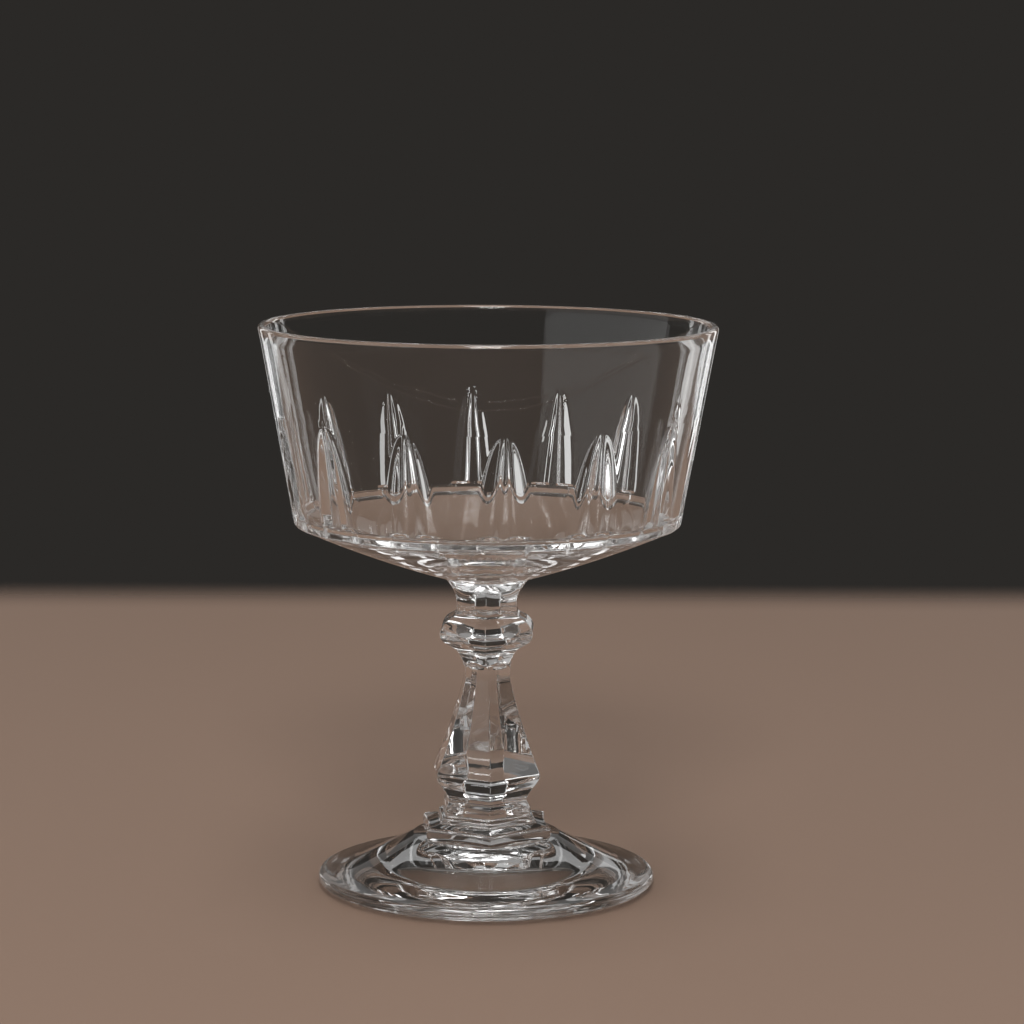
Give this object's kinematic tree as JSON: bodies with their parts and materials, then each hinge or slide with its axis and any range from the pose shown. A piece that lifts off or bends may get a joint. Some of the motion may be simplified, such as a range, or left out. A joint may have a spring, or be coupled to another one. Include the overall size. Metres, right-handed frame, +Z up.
{
  "type": "sherbet glass",
  "caption": "Clear pressed sherbet glass: a wide flaring bowl with ribbed, pointed spikes over a belt of bricks, on a knopped six-sided baluster stem and a round foot.",
  "frame": {"origin": "on the table, under the middle of the foot", "axes": "+Z up along the glass's axis, front towards -Y"},
  "size_m": [0.0952, 0.0952, 0.1184],
  "materials": {
    "clear_glass": "fire-polished, clear and colourless"
  },
  "bodies": {
    "root": {"bowl": "clear_glass", "knop": "clear_glass", "stem": "clear_glass", "foot": "clear_glass"}
  },
  "joints": []
}
